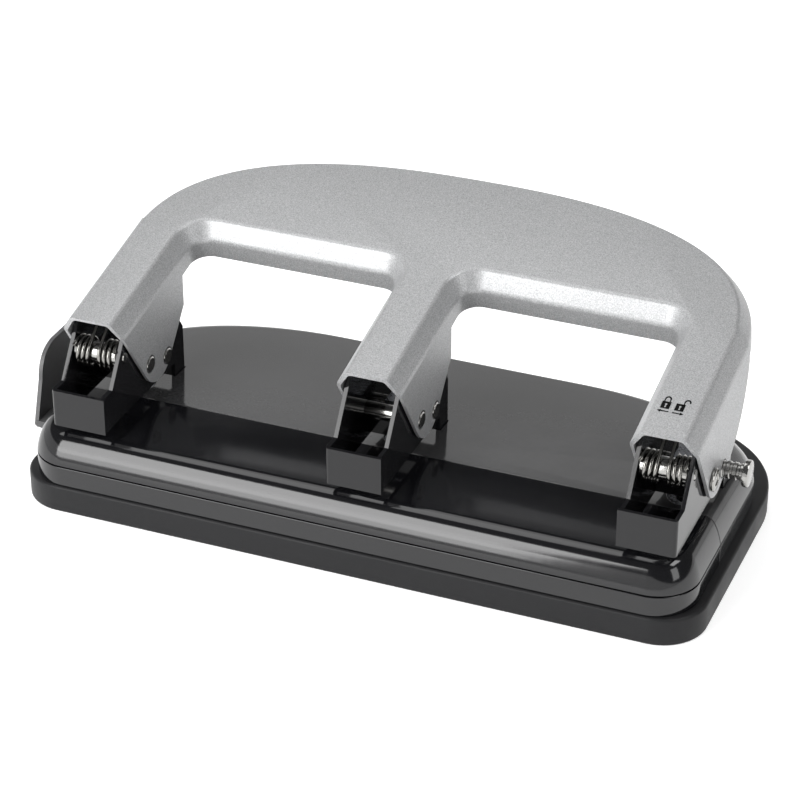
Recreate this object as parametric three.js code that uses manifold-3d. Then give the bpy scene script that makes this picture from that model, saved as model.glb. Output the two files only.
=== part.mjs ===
// Three-hole desk punch: a pressed steel handle on three punch heads, over a plastic base with a chip tray.
// Millimetres, +Z up, +X along the row of holes, +Y away from the person who uses it.
// The origin lies on the table, straight below the middle punch.

import * as THREE from 'three';
import { mergeVertices } from 'three/addons/utils/BufferGeometryUtils.js';
import Module from 'manifold-3d';

const wasm = await Module();
wasm.setup();

const { sin, cos, tan, PI, abs, sign } = Math;
const radians = (degrees) => (degrees * PI) / 180;

// Driving sizes of the whole machine
const holeSpacing = 107.95;
const punchDiameter = 7.1;
const gap = 0.3;
const overrun = 2;
const weld = 1e-4;
const roundSides = 20;
const cornerSteps = 10;
const heads = [
	{ name: 'left', x: -holeSpacing, bend: -1 },
	{ name: 'middle', x: 0, bend: -1 },
	{ name: 'right', x: holeSpacing, bend: 1 },
];

// Chip tray, which stands out past the base's wall as a ledge
const tray = {
	leftLedge: 3.7,
	rightLedge: 3.3,
	frontLedge: 0.9,
	rear: 83,
	frontRadius: 17,
	rearRadius: 46,
	height: 10.9,
	floor: 2,
	rimHeight: 2,
	rimWall: 1.4,
	chamfer: 0.9,
};

// Base shell, in a front cover and a rear deck
const base = {
	guideClearance: 8.8,
	rightReach: 16.25,
	front: -50.3,
	frontRadius: 16.1,
	wall: 2.2,
	rear: 71,
	rearAcross: 63,
	rearAlong: 42,
	creaseHeight: 19.4,
	topHeight: 30.3,
	topLeftInset: 6.3,
	topRightInset: 6.4,
	topFront: -41.6,
	topRear: 67,
	topFrontRadius: 8.5,
	topRearAcross: 76,
	topRearAlong: 42,
	seam: -10.1,
	seamGap: 0.3,
	deckFall: 3,
	bulgeSteps: 6,
};

// Punch head bracket, bent from black sheet
const bracket = {
	halfWidth: 10.4,
	sheet: 1.5,
	front: -47,
	slotHeight: 4.4,
	plateHeight: 14.4,
	plateEdge: 10.9,
	plateStep: 8,
	slantTop: 20.5,
	topHeight: 32.5,
	topEnd: 42,
	shoulder: 62,
	shoulderHeight: 18,
	rear: 66,
	rearHeight: 12,
	stop: 58,
	tab: 1.8,
	tabHeight: 6,
	footWeb: 3.6,
	bendRadius: 1.6,
};

// Pins of the linkage, measured from the bracket's front and from the slot's roof
const pivot = { setBack: 35.2, rise: 11.7, diameter: 6.2, headDiameter: 8.4, headThickness: 1.2 };
const drive = { radius: 14.24, restAngle: -14.2, diameter: 4, collar: 6.2, collarStart: 10.8 };
const stroke = 29;
const pivotY = bracket.front + pivot.setBack;

// Punch pins and dies
const punch = {
	tipRise: 0.3,
	shankTop: 7,
	headHalfWidth: 4.2,
	headHalfDepth: 6.6,
	headBottom: 5,
	headTop: 13.4,
	slack: 0.4,
};
const die = { diameter: 13, bore: 7.5, shoulder: 16, shoulderHeight: 1.2 };

// Steel frame plate under the base
const frame = {
	endReach: 10.8,
	front: -27,
	rear: 25,
	drop: 6.2,
	thickness: 2.5,
	chipHole: 9.4,
	cornerRadius: 6,
};
const boss = { diameter: 9, x: 66, front: -20, rear: 17 };
const screw = { shank: 3, head: 6, headHeight: 1.9, length: 6.4, slotWidth: 1.1, recess: 0.9 };
const footScrew = { offset: 4.4, shank: 2.6, head: 4.6, length: 4.4 };

// Pressed steel handle
const handle = {
	sheet: 1.2,
	mouthSetBack: 13,
	headroom: 6,
	slope: 12,
	flatHalfWidth: 8,
	bevelOut: 4.3,
	bevelDown: 6.8,
	skirt: 14.2,
	legOverrun: 14,
	barFront: 67.3,
	rear: 117.6,
	archStart: 51,
	windowRadius: 12,
	mouthLean: 17,
	depth: 70,
};
const mouthY = bracket.front + handle.mouthSetBack;
const archPower = 2.5;
const archSteps = 22;

// Side lobes of the handle that hold the pins, from the bracket's front and from the slot's roof
const ear = {
	frontY: 14.7,
	frontDrop: 5.6,
	frontSlope: 0.671,
	centreY: 41.5,
	centreRise: 14,
	radius: 11.8,
	startAngle: 213.9,
	innerEndAngle: 320,
	innerRear: 64,
	innerCorner: 22.5,
	outerEndAngle: 300,
	outerRear: 76,
	outerCorner: 36,
	outerPullY: 72,
	outerPullRise: 11,
	top: 60,
};
const pinReach = 0.4;

// Return springs and the shafts that carry them, in the two outer heads
const spring = {
	setBack: 19,
	drop: 10,
	wire: 1.4,
	coil: 10.4,
	pitch: 1.95,
	turns: 3,
	innerX: 2.1,
	legAngle: 38,
	legLength: 14,
	legSetBack: 50,
	tailReach: 0.6,
};
const springY = bracket.front + spring.setBack;
const springLegY = bracket.front + spring.legSetBack;
const springShaft = { drum: 8.3, journal: 4, drumHalfLength: 8.5, endGap: 0.2 };

// Lock knob, a sleeve that slides on the end of the right drive pin
const lock = {
	sleeve: 6.4,
	bore: 4.6,
	keyhole: 7,
	innerX: 11.2,
	length: 10.9,
	headDiameter: 9.8,
	headThickness: 2.2,
	backWall: 1.5,
	pinLength: 14.5,
};

// Paper guide at the left end, which meets the edge of the sheet
const sheetLength = 279.4;
const guide = {
	plate: 1.6,
	frontToe: -13.7,
	frontLow: -21.5,
	lowHeight: 15.5,
	frontHigh: -16.3,
	highHeight: 32.5,
	frontTop: -5,
	rearTop: 22,
	rear: 30,
	bottom: 8.9,
	top: 44.7,
	toeRadius: 1,
	armFront: -21.5,
	armWidth: 10,
	armThickness: 2.6,
	armShare: 0.328,
	armLength: 62,
};
const guideFace = -sheetLength / 2;
const rail = { length: 30, offset: 21.7, sheet: 1.5 };
const railStart = guideFace + rail.offset;

// Heights and places that follow from the sizes above
const slotRoof = base.topHeight + bracket.slotHeight;
const mouthRise = bracket.topHeight + handle.headroom;
const kneeRise = mouthRise - ear.frontDrop;
const pivotZ = slotRoof + pivot.rise;
const driveAt = (angle) => ({
	y: pivotY + drive.radius * cos(radians(drive.restAngle - angle)),
	z: pivotZ + drive.radius * sin(radians(drive.restAngle - angle)),
});
const driveRest = driveAt(0);
const driveDown = driveAt(stroke);
const punchMiddle = (driveRest.y + driveDown.y) / 2;
const deckZ = (y) => base.topHeight - tan(radians(base.deckFall)) * (y - base.seam);
const stopY = bracket.front + bracket.stop;
const earOuter = handle.flatHalfWidth + handle.bevelOut;
const slopeRise = tan(radians(handle.slope));
const ceilingZ = (y) => slotRoof + mouthRise + slopeRise * (y - mouthY) - handle.sheet;
const frameTop = base.topHeight - frame.drop;
const frameBottom = frameTop - frame.thickness;
const rimTop = tray.height + tray.rimHeight;
const armHeight = rimTop + guide.armShare * (frameBottom - rimTop - guide.armThickness);
const wallLeft = guideFace + base.guideClearance;
const wallRight = holeSpacing + base.rightReach;
const trayLeft = wallLeft - tray.leftLedge;
const trayRight = wallRight + tray.rightLedge;
const trayFront = base.front - tray.frontLedge;

// Materials, with the colours and finish of the real machine
function finish(color, roughness, metalness) {
	return new THREE.MeshStandardMaterial({ color, roughness, metalness });
}
const silverPaint = finish(0xb9bbbd, 0.38, 0.6);
const glossBlack = finish(0x0c0c0d, 0.12, 0);
const deckGrey = finish(0x1d1e1f, 0.14, 0);
const matteBlack = finish(0x1a1a1b, 0.7, 0);
const blackSheet = finish(0x161617, 0.25, 0.4);
const brightSteel = finish(0xd4d6d8, 0.2, 1);
const darkSteel = finish(0x6d7074, 0.35, 1);
const zincSteel = finish(0xa4a9ad, 0.3, 1);

// Closed solids from the geometry classes, and back
function solid(geometry) {
	const plain = geometry.clone();
	plain.deleteAttribute('normal');
	plain.deleteAttribute('uv');
	const merged = mergeVertices(plain, weld);
	return new wasm.Manifold(
		new wasm.Mesh({
			numProp: 3,
			vertProperties: new Float32Array(merged.attributes.position.array),
			triVerts: new Uint32Array(merged.index.array),
		})
	);
}

function geometryOf(body) {
	const { vertProperties, triVerts, numProp } = body.getMesh();
	const points = [];
	for (let i = 0; i < vertProperties.length; i += numProp) {
		points.push(vertProperties[i], vertProperties[i + 1], vertProperties[i + 2]);
	}
	const geometry = new THREE.BufferGeometry();
	geometry.setAttribute('position', new THREE.Float32BufferAttribute(points, 3));
	geometry.setIndex([...triVerts]);
	geometry.computeVertexNormals();
	return geometry;
}

const together = (bodies) => bodies.reduce((sum, body) => sum.add(body));

function block(x0, x1, y0, y1, z0, z1) {
	const geometry = new THREE.BoxGeometry(x1 - x0, y1 - y0, z1 - z0);
	geometry.translate((x0 + x1) / 2, (y0 + y1) / 2, (z0 + z1) / 2);
	return solid(geometry);
}

function rodAlongX(diameter, x0, x1, y, z) {
	const geometry = new THREE.CylinderGeometry(diameter / 2, diameter / 2, x1 - x0, roundSides);
	geometry.rotateZ(PI / 2);
	geometry.translate((x0 + x1) / 2, y, z);
	return solid(geometry);
}

function rodAlongZ(diameter, x, y, z0, z1) {
	const geometry = new THREE.CylinderGeometry(diameter / 2, diameter / 2, z1 - z0, roundSides);
	geometry.rotateX(PI / 2);
	geometry.translate(x, y, (z0 + z1) / 2);
	return solid(geometry);
}

// A profile drawn in Y and Z, made as thick as x0 to x1
function plateAcross(shape, x0, x1) {
	const geometry = new THREE.ExtrudeGeometry(shape, {
		depth: x1 - x0,
		bevelEnabled: false,
		curveSegments: cornerSteps,
	});
	const turn = new THREE.Matrix4().makeBasis(
		new THREE.Vector3(0, 1, 0),
		new THREE.Vector3(0, 0, 1),
		new THREE.Vector3(1, 0, 0)
	);
	geometry.applyMatrix4(turn);
	geometry.translate(x0, 0, 0);
	return solid(geometry);
}

// A profile drawn in X and Y, standing from z0 to z1
function plateFlat(shape, z0, z1) {
	const geometry = new THREE.ExtrudeGeometry(shape, {
		depth: z1 - z0,
		bevelEnabled: false,
		curveSegments: cornerSteps,
	});
	geometry.translate(0, 0, z0);
	return solid(geometry);
}

function polygon(points) {
	return new THREE.Shape(points.map(([a, b]) => new THREE.Vector2(a, b)));
}

// One outline of the base, between its two ends: round corners in front, longer ones behind
function footprint(left, right, front, rear, frontRadius, rearAcross, rearAlong) {
	const quarter = PI / 2;
	const corners = [
		{ x: right - frontRadius, y: front + frontRadius, across: frontRadius, along: frontRadius },
		{ x: right - rearAcross, y: rear - rearAlong, across: rearAcross, along: rearAlong },
		{ x: left + rearAcross, y: rear - rearAlong, across: rearAcross, along: rearAlong },
		{ x: left + frontRadius, y: front + frontRadius, across: frontRadius, along: frontRadius },
	];
	const points = [];
	corners.forEach(({ x, y, across, along }, turn) => {
		for (let i = 0; i <= cornerSteps; i++) {
			const angle = quarter * (turn - 1 + i / cornerSteps);
			points.push([x + across * cos(angle), y + along * sin(angle)]);
		}
	});
	return points;
}

// A closed body from outlines that lie one above another
function loft(rings) {
	const count = rings[0].length;
	const points = rings.flat(2);
	const faces = [];
	for (let level = 0; level < rings.length - 1; level++) {
		for (let i = 0; i < count; i++) {
			const a = level * count + i;
			const b = level * count + ((i + 1) % count);
			faces.push(a, b, b + count, a, b + count, a + count);
		}
	}
	const last = (rings.length - 1) * count;
	for (let i = 1; i < count - 1; i++) {
		faces.push(0, i + 1, i, last, last + i, last + i + 1);
	}
	const geometry = new THREE.BufferGeometry();
	geometry.setAttribute('position', new THREE.Float32BufferAttribute(points, 3));
	geometry.setIndex(faces);
	return solid(geometry);
}

// A round wire along a list of points, closed at both ends
function wireAlong(path, diameter, sides) {
	const points = [];
	const faces = [];
	let side = new THREE.Vector3(1, 0, 0);
	path.forEach((point, i) => {
		const ahead = path[Math.min(i + 1, path.length - 1)];
		const behind = path[Math.max(i - 1, 0)];
		const along = ahead.clone().sub(behind).normalize();
		side = side.clone().sub(along.clone().multiplyScalar(side.dot(along))).normalize();
		const up = along.clone().cross(side);
		for (let k = 0; k < sides; k++) {
			const angle = (2 * PI * k) / sides;
			const corner = point.clone();
			corner.addScaledVector(side, (diameter / 2) * cos(angle));
			corner.addScaledVector(up, (diameter / 2) * sin(angle));
			points.push(corner.x, corner.y, corner.z);
		}
	});
	for (let i = 0; i < path.length - 1; i++) {
		for (let k = 0; k < sides; k++) {
			const a = i * sides + k;
			const b = i * sides + ((k + 1) % sides);
			faces.push(a, b, b + sides, a, b + sides, a + sides);
		}
	}
	const last = (path.length - 1) * sides;
	for (let k = 1; k < sides - 1; k++) {
		faces.push(0, k + 1, k, last, last + k, last + k + 1);
	}
	const geometry = new THREE.BufferGeometry();
	geometry.setAttribute('position', new THREE.Float32BufferAttribute(points, 3));
	geometry.setIndex(faces);
	return solid(geometry);
}

const machine = new THREE.Group();

function add(name, body, material) {
	const mesh = new THREE.Mesh(geometryOf(body), material);
	mesh.name = name;
	machine.add(mesh);
	return mesh;
}

// Chip tray: a shallow pan with a thin rim that the base drops over
function trayRing(inset, z) {
	const points = footprint(
		trayLeft + inset,
		trayRight - inset,
		trayFront + inset,
		tray.rear - inset,
		tray.frontRadius - inset,
		tray.rearRadius - inset,
		tray.rearRadius - inset
	);
	return points.map(([x, y]) => [x, y, z]);
}

function wallRing(inset, z) {
	const points = footprint(
		wallLeft + inset,
		wallRight - inset,
		base.front + inset,
		base.rear - inset,
		base.frontRadius - inset,
		base.rearAcross - inset,
		base.rearAlong - inset
	);
	return points.map(([x, y]) => [x, y, z]);
}

function chipTray() {
	const rimInset = base.wall + gap;
	const outside = loft([
		trayRing(tray.chamfer, 0),
		trayRing(0, tray.chamfer),
		trayRing(0, tray.height - tray.chamfer),
		trayRing(tray.chamfer, tray.height),
	]);
	const rim = loft([
		wallRing(rimInset, tray.height - overrun),
		wallRing(rimInset, tray.height + tray.rimHeight),
	]);
	const inside = loft([
		wallRing(rimInset + tray.rimWall, tray.floor),
		wallRing(rimInset + tray.rimWall, tray.height + tray.rimHeight + overrun),
	]);
	return outside.add(rim).subtract(inside);
}

add('chip_tray', chipTray(), matteBlack);

// Base shell: upright wall, rounded bulge, and a top that is level in front of the seam and falls behind it
function shellRings(inset, lift, falling) {
	const topZ = (y) => (falling ? deckZ(y) : base.topHeight);
	const top = footprint(
		wallLeft + base.topLeftInset + inset,
		wallRight - base.topRightInset - inset,
		base.topFront + inset,
		base.topRear - inset,
		base.topFrontRadius - inset,
		base.topRearAcross - inset,
		base.topRearAlong - inset
	);
	const foot = wallRing(inset, lift > 0 ? tray.height - overrun : tray.height + gap);
	const rings = [foot];
	for (let i = 0; i <= base.bulgeSteps; i++) {
		const angle = ((PI / 2) * i) / base.bulgeSteps;
		const inward = 1 - cos(angle);
		const upward = sin(angle);
		const ring = foot.map(([x, y], k) => {
			const across = x + (top[k][0] - x) * inward;
			const along = y + (top[k][1] - y) * inward;
			return [across, along, base.creaseHeight + (topZ(along) - base.creaseHeight) * upward - lift];
		});
		rings.push(ring);
	}
	return rings;
}

function baseShell(falling) {
	return loft(shellRings(0, 0, falling)).subtract(loft(shellRings(base.wall, base.wall, falling)));
}

const shellReach = 2 * trayRight;
const halfSeam = base.seamGap / 2;
const inFront = block(-shellReach, shellReach, -shellReach, base.seam - halfSeam, -shellReach, shellReach);
const behind = block(-shellReach, shellReach, base.seam + halfSeam, shellReach, -shellReach, shellReach);

function bosses(y) {
	const top = (y > base.seam ? deckZ(y) : base.topHeight) - base.wall;
	return [-boss.x, boss.x].map((x) => rodAlongZ(boss.diameter, x, y, frameTop + gap, top + base.wall / 2));
}

function bossHoles(y) {
	const depth = frameTop + screw.length - frame.thickness + gap;
	return together([-boss.x, boss.x].map((x) => rodAlongZ(screw.shank + 2 * gap, x, y, 0, depth)));
}

function frontCover() {
	const shell = baseShell(false).intersect(inFront);
	const armEnd = guide.armFront + guide.armWidth + gap;
	const armTop = armHeight + guide.armThickness + gap;
	const outer = trayLeft - overrun;
	const inner = wallLeft + base.wall + overrun;
	return together([shell, ...bosses(boss.front)])
		.subtract(bossHoles(boss.front))
		.subtract(block(outer, inner, guide.armFront - gap, armEnd, armHeight - gap, armTop));
}

function rearDeck() {
	const shell = baseShell(true).intersect(behind);
	let body = together([shell, ...bosses(boss.rear)]).subtract(bossHoles(boss.rear));
	const footFront = stopY - gap;
	const footRear = bracket.front + bracket.rear + gap;
	const footHalf = bracket.halfWidth + gap;
	for (const { x } of heads) {
		body = body.subtract(rodAlongZ(die.diameter + 2 * gap, x, 0, frameTop, slotRoof));
		body = body.subtract(block(x - footHalf, x + footHalf, footFront, footRear, frameTop, slotRoof));
	}
	return body;
}

add('base_front_cover', frontCover(), glossBlack);
add('base_rear_deck', rearDeck(), deckGrey);

// Frame plate: the steel strap inside the base that carries heads, dies and covers
function framePlate() {
	const { front, rear, cornerRadius } = frame;
	const end = holeSpacing + frame.endReach;
	const outline = polygon(footprint(-end, end, front, rear, cornerRadius, cornerRadius, cornerRadius));
	let body = plateFlat(outline, frameBottom, frameTop);
	const through = (diameter, x, y) => rodAlongZ(diameter, x, y, frameBottom - overrun, frameTop + overrun);
	for (const { x } of heads) {
		body = body.subtract(through(frame.chipHole, x, 0));
		for (const side of [-1, 1]) {
			body = body.subtract(through(footScrew.shank + 2 * gap, x + side * footScrew.offset, footScrewY));
		}
	}
	for (const y of [boss.front, boss.rear]) {
		for (const x of [-boss.x, boss.x]) {
			body = body.subtract(through(screw.shank + 2 * gap, x, y));
		}
	}
	return body;
}

const footScrewY = bracket.front + (bracket.stop + bracket.rear) / 2;
add('frame_plate', framePlate(), zincSteel);

// Dies: hardened bushes that stand in the frame plate, level with the deck
function dieBush(x) {
	const seat = frameTop + gap;
	const top = deckZ(die.diameter / 2);
	return rodAlongZ(die.shoulder, x, 0, seat, seat + die.shoulderHeight)
		.add(rodAlongZ(die.diameter, x, 0, seat, top))
		.subtract(rodAlongZ(die.bore, x, 0, seat - overrun, top + overrun));
}

for (const { name, x } of heads) {
	add(`die_${name}`, dieBush(x), darkSteel);
}

// Pan-head screws, driven up from below
function panScrew(x, y, seat, size) {
	const bottom = seat - gap - screw.headHeight;
	const half = screw.slotWidth;
	const slot = block(
		x - size.head,
		x + size.head,
		y - half / 2,
		y + half / 2,
		bottom - overrun,
		bottom + screw.recess
	);
	return rodAlongZ(size.head, x, y, bottom, seat - gap)
		.add(rodAlongZ(size.shank, x, y, seat - gap - screw.headHeight / 2, seat + size.length))
		.subtract(slot);
}

const screwPlaces = [
	['front_left', -boss.x, boss.front],
	['front_right', boss.x, boss.front],
	['rear_left', -boss.x, boss.rear],
	['rear_right', boss.x, boss.rear],
];
for (const [name, x, y] of screwPlaces) {
	add(`cover_screw_${name}`, panScrew(x, y, frameBottom, screw), zincSteel);
}
for (const { name, x } of heads) {
	for (const side of [-1, 1]) {
		const place = side < 0 ? 'outer' : 'inner';
		add(
			`head_screw_${name}_${place}`,
			panScrew(x + side * footScrew.offset, footScrewY, frameBottom, footScrew),
			zincSteel
		);
	}
}

// Head brackets: two side flanges, a front plate bent off one of them, a punch guide and a foot
function arcSlot(width, holeDiameter) {
	const shape = new THREE.Shape();
	const outer = drive.radius + width / 2;
	const inner = drive.radius - width / 2;
	const from = radians(drive.restAngle);
	const to = radians(drive.restAngle - stroke);
	shape.absarc(pivotY, pivotZ, outer, to, from, false);
	shape.absarc(pivotY, pivotZ, inner, from, to, true);
	const reach = holeSpacing + 2 * bracket.halfWidth;
	const ends = [driveRest, driveDown].map(({ y, z }) => rodAlongX(holeDiameter, -reach, reach, y, z));
	return together([plateAcross(shape, -reach, reach), ...ends]);
}

function flangeShape() {
	const y = (share) => bracket.front + share;
	const z = (rise) => slotRoof + rise;
	const footBottom = frameTop + gap;
	return polygon([
		[y(bracket.sheet + gap), z(0)],
		[y(bracket.stop), z(0)],
		[y(bracket.stop), footBottom],
		[y(bracket.rear), footBottom],
		[y(bracket.rear), z(bracket.rearHeight)],
		[y(bracket.shoulder), z(bracket.shoulderHeight)],
		[y(bracket.topEnd), z(bracket.topHeight)],
		[y(bracket.slantTop), z(bracket.topHeight)],
		[y(bracket.plateStep), z(bracket.plateHeight)],
		[y(bracket.sheet + gap), z(bracket.plateHeight)],
	]);
}

function headBracket({ x, bend, name }) {
	const { halfWidth, sheet, front } = bracket;
	const flange = (side) => {
		const faces = [x + side * (halfWidth - sheet), x + side * halfWidth];
		return plateAcross(flangeShape(), Math.min(...faces), Math.max(...faces));
	};
	const plateShape = new THREE.Shape();
	const bent = bend * halfWidth;
	const free = -bend * bracket.plateEdge;
	const r = bracket.bendRadius;
	plateShape.moveTo(x + bent, front + r);
	plateShape.quadraticCurveTo(x + bent, front, x + bent - bend * r, front);
	plateShape.lineTo(x + free, front);
	plateShape.lineTo(x + free, front + sheet);
	plateShape.lineTo(x + bent - bend * sheet, front + sheet);
	plateShape.lineTo(x + bent - bend * sheet, front + 2 * sheet);
	plateShape.lineTo(x + bent, front + 2 * sheet);
	const plate = plateFlat(plateShape, slotRoof, slotRoof + bracket.plateHeight);
	const tabs = [-1, 1].map((side) => {
		const near = punchMiddle + side * (punch.headHalfDepth + gap);
		const ends = [near, near + side * bracket.tab];
		return block(
			x - halfWidth + sheet / 2,
			x + halfWidth - sheet / 2,
			Math.min(...ends),
			Math.max(...ends),
			slotRoof,
			slotRoof + bracket.tabHeight
		);
	});
	const footBottom = frameTop + gap;
	const footWeb = block(
		x - halfWidth + sheet / 2,
		x + halfWidth - sheet / 2,
		stopY,
		front + bracket.rear,
		footBottom,
		footBottom + bracket.footWeb
	);
	let body = together([flange(-1), flange(1), plate, footWeb, ...tabs]);
	const reach = halfWidth + overrun;
	body = body.subtract(rodAlongX(pivot.diameter + 2 * gap, x - reach, x + reach, pivotY, pivotZ));
	const slotWidth = drive.diameter + 2 * gap;
	body = body.subtract(arcSlot(slotWidth, slotWidth));
	if (name === 'right') {
		const flangeOnly = block(x, x + reach, front, stopY, slotRoof, slotRoof + bracket.topHeight);
		body = body.subtract(arcSlot(slotWidth, lock.keyhole).intersect(flangeOnly));
	}
	if (name !== 'middle') {
		body = body.subtract(rodAlongX(springShaft.journal + 2 * gap, x - reach, x + reach, springY, springZ));
	}
	for (const side of [-1, 1]) {
		const hole = footScrew.shank + 2 * gap;
		const top = frameTop + footScrew.length - frame.thickness + gap;
		body = body.subtract(rodAlongZ(hole, x + side * footScrew.offset, footScrewY, frameBottom, top));
	}
	return body;
}

const springZ = slotRoof + bracket.topHeight - spring.drop;
for (const head of heads) {
	add(`head_bracket_${head.name}`, headBracket(head), blackSheet);
}

// Punch pins: a round shank and a yoke that the drive pin pushes down and pulls up
function punchPin({ x }) {
	const tip = slotRoof + punch.tipRise;
	const shank = rodAlongZ(punchDiameter, x, 0, tip, slotRoof + punch.shankTop);
	const yoke = block(
		x - punch.headHalfWidth,
		x + punch.headHalfWidth,
		punchMiddle - punch.headHalfDepth,
		punchMiddle + punch.headHalfDepth,
		slotRoof + punch.headBottom,
		slotRoof + punch.headTop
	);
	const radius = drive.diameter / 2 + gap;
	const slot = new THREE.Shape();
	slot.absarc(driveRest.y, driveRest.z, radius, -PI / 2, PI / 2, false);
	slot.absarc(driveDown.y, driveRest.z, radius, PI / 2, (3 * PI) / 2, false);
	const low = new THREE.Shape();
	low.absarc(driveRest.y, driveRest.z - punch.slack, radius, -PI / 2, PI / 2, false);
	low.absarc(driveDown.y, driveRest.z - punch.slack, radius, PI / 2, (3 * PI) / 2, false);
	const reach = punch.headHalfWidth + overrun;
	return shank
		.add(yoke)
		.subtract(plateAcross(slot, x - reach, x + reach))
		.subtract(plateAcross(low, x - reach, x + reach));
}

for (const head of heads) {
	add(`punch_pin_${head.name}`, punchPin(head), darkSteel);
}

// Pivot pins and drive pins
function pivotPin({ x, name }) {
	const end = earOuter + pinReach;
	const pin = rodAlongX(pivot.diameter, x - end, x + end, pivotY, pivotZ);
	if (name !== 'right') return pin;
	const headStart = x + earOuter + gap;
	return pin.add(rodAlongX(pivot.headDiameter, headStart, headStart + pivot.headThickness, pivotY, pivotZ));
}

function drivePin({ x, name }) {
	const end = earOuter + pinReach;
	const { y, z } = driveRest;
	const collar = (side) => {
		const ends = [x + side * drive.collarStart, x + side * end];
		return rodAlongX(drive.collar, Math.min(...ends), Math.max(...ends), y, z);
	};
	if (name === 'right') return rodAlongX(drive.diameter, x - end, x + lock.pinLength, y, z).add(collar(-1));
	return together([rodAlongX(drive.diameter, x - end, x + end, y, z), collar(-1), collar(1)]);
}

for (const head of heads) {
	add(`pivot_pin_${head.name}`, pivotPin(head), brightSteel);
	add(`drive_pin_${head.name}`, drivePin(head), brightSteel);
}

// Spring shafts: a drum between the flanges with a journal at each end
function springDrum({ x }) {
	const end = bracket.halfWidth + springShaft.endGap;
	const half = springShaft.drumHalfLength;
	return rodAlongX(springShaft.drum, x - half, x + half, springY, springZ).add(
		rodAlongX(springShaft.journal, x - end, x + end, springY, springZ)
	);
}

// Torsion springs: a short tail, the turns, and a straight leg up to the handle
const stepsPerTurn = 8;
const wireSides = 5;

function springPath(x, side) {
	const radius = spring.coil / 2;
	const leg = radians(spring.legAngle);
	const points = [];
	const start = leg + PI / 2;
	const turnsAngle = 2 * PI * spring.turns;
	const at = (angle, across) =>
		new THREE.Vector3(x + side * across, springY + radius * cos(angle), springZ + radius * sin(angle));
	const legStart = at(start, spring.innerX);
	const elbow = new THREE.Vector3(0, cos(leg), sin(leg)).multiplyScalar(spring.legLength).add(legStart);
	points.push(new THREE.Vector3(legStart.x, springLegY, ceilingZ(springLegY) - gap - spring.wire / 2));
	points.push(elbow);
	const steps = stepsPerTurn * spring.turns;
	for (let i = 0; i <= steps; i++) {
		const turned = (turnsAngle * i) / steps;
		points.push(at(start + turned, spring.innerX + (spring.pitch * turned) / (2 * PI)));
	}
	const tail = at(start + turnsAngle + PI / (2 * stepsPerTurn), spring.innerX + spring.pitch * spring.turns);
	tail.x += side * spring.tailReach;
	points.push(tail);
	return points;
}

function leastGap(points, diameter) {
	let least = Infinity;
	const apart = stepsPerTurn / 2;
	for (let i = 0; i < points.length; i++) {
		for (let k = i + apart; k < points.length; k++) {
			least = Math.min(least, points[i].distanceTo(points[k]) - diameter);
		}
	}
	return least;
}

for (const head of heads.filter(({ name }) => name !== 'middle')) {
	add(`spring_shaft_${head.name}`, springDrum(head), brightSteel);
	for (const side of [-1, 1]) {
		const path = springPath(head.x, side);
		const place = side < 0 ? 'a' : 'b';
		add(`return_spring_${head.name}_${place}`, wireAlong(path, spring.wire, wireSides), brightSteel);
		console.log(`return spring ${head.name} ${place}: least gap ${leastGap(path, spring.wire).toFixed(2)} mm`);
	}
}

// Handle outline in its own sloping plane: an arched bar with three legs
function handleOutline() {
	const { flatHalfWidth, barFront, rear, archStart, windowRadius, legOverrun } = handle;
	const outer = holeSpacing + flatHalfWidth;
	const shape = new THREE.Shape();
	const r = windowRadius;
	shape.moveTo(-outer, -legOverrun);
	for (const [from, to] of [
		[-holeSpacing, 0],
		[0, holeSpacing],
	]) {
		const left = from + flatHalfWidth;
		const right = to - flatHalfWidth;
		shape.lineTo(left, -legOverrun);
		shape.lineTo(left, barFront - r);
		shape.absarc(left + r, barFront - r, r, PI, PI / 2, true);
		shape.lineTo(right - r, barFront);
		shape.absarc(right - r, barFront - r, r, PI / 2, 0, true);
		shape.lineTo(right, -legOverrun);
	}
	shape.lineTo(outer, -legOverrun);
	for (let i = 0; i <= archSteps; i++) {
		const angle = (PI * i) / archSteps;
		const across = sign(cos(angle)) * abs(cos(angle)) ** (2 / archPower);
		const back = sin(angle) ** (2 / archPower);
		shape.lineTo(outer * across, archStart + (rear - archStart) * back);
	}
	return shape;
}

function handleForm(inset) {
	const geometry = new THREE.ExtrudeGeometry(handleOutline(), {
		depth: handle.depth,
		bevelEnabled: true,
		bevelThickness: handle.bevelDown,
		bevelSize: handle.bevelOut,
		bevelOffset: -inset,
		bevelSegments: 1,
		curveSegments: cornerSteps / 2,
	});
	geometry.translate(0, 0, -handle.depth - handle.bevelDown - inset);
	geometry.rotateX(radians(handle.slope));
	geometry.translate(0, mouthY, slotRoof + mouthRise);
	return solid(geometry);
}

function earShape(outer) {
	const y = (value) => bracket.front + value;
	const z = (value) => slotRoof + value;
	const top = ear.top;
	const shape = new THREE.Shape();
	shape.moveTo(y(ear.frontY - ear.frontSlope * (top - kneeRise)), z(top));
	const endAngle = radians(outer ? ear.outerEndAngle : ear.innerEndAngle);
	shape.absarc(y(ear.centreY), z(ear.centreRise), ear.radius, radians(ear.startAngle), endAngle, false);
	if (outer) {
		shape.quadraticCurveTo(y(ear.outerPullY), z(ear.outerPullRise), y(ear.outerRear), z(ear.outerCorner));
		shape.lineTo(y(ear.outerRear), z(top));
	} else {
		shape.lineTo(y(ear.innerRear), z(ear.innerCorner));
		shape.lineTo(y(ear.innerRear), z(top));
	}
	return shape;
}

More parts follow.
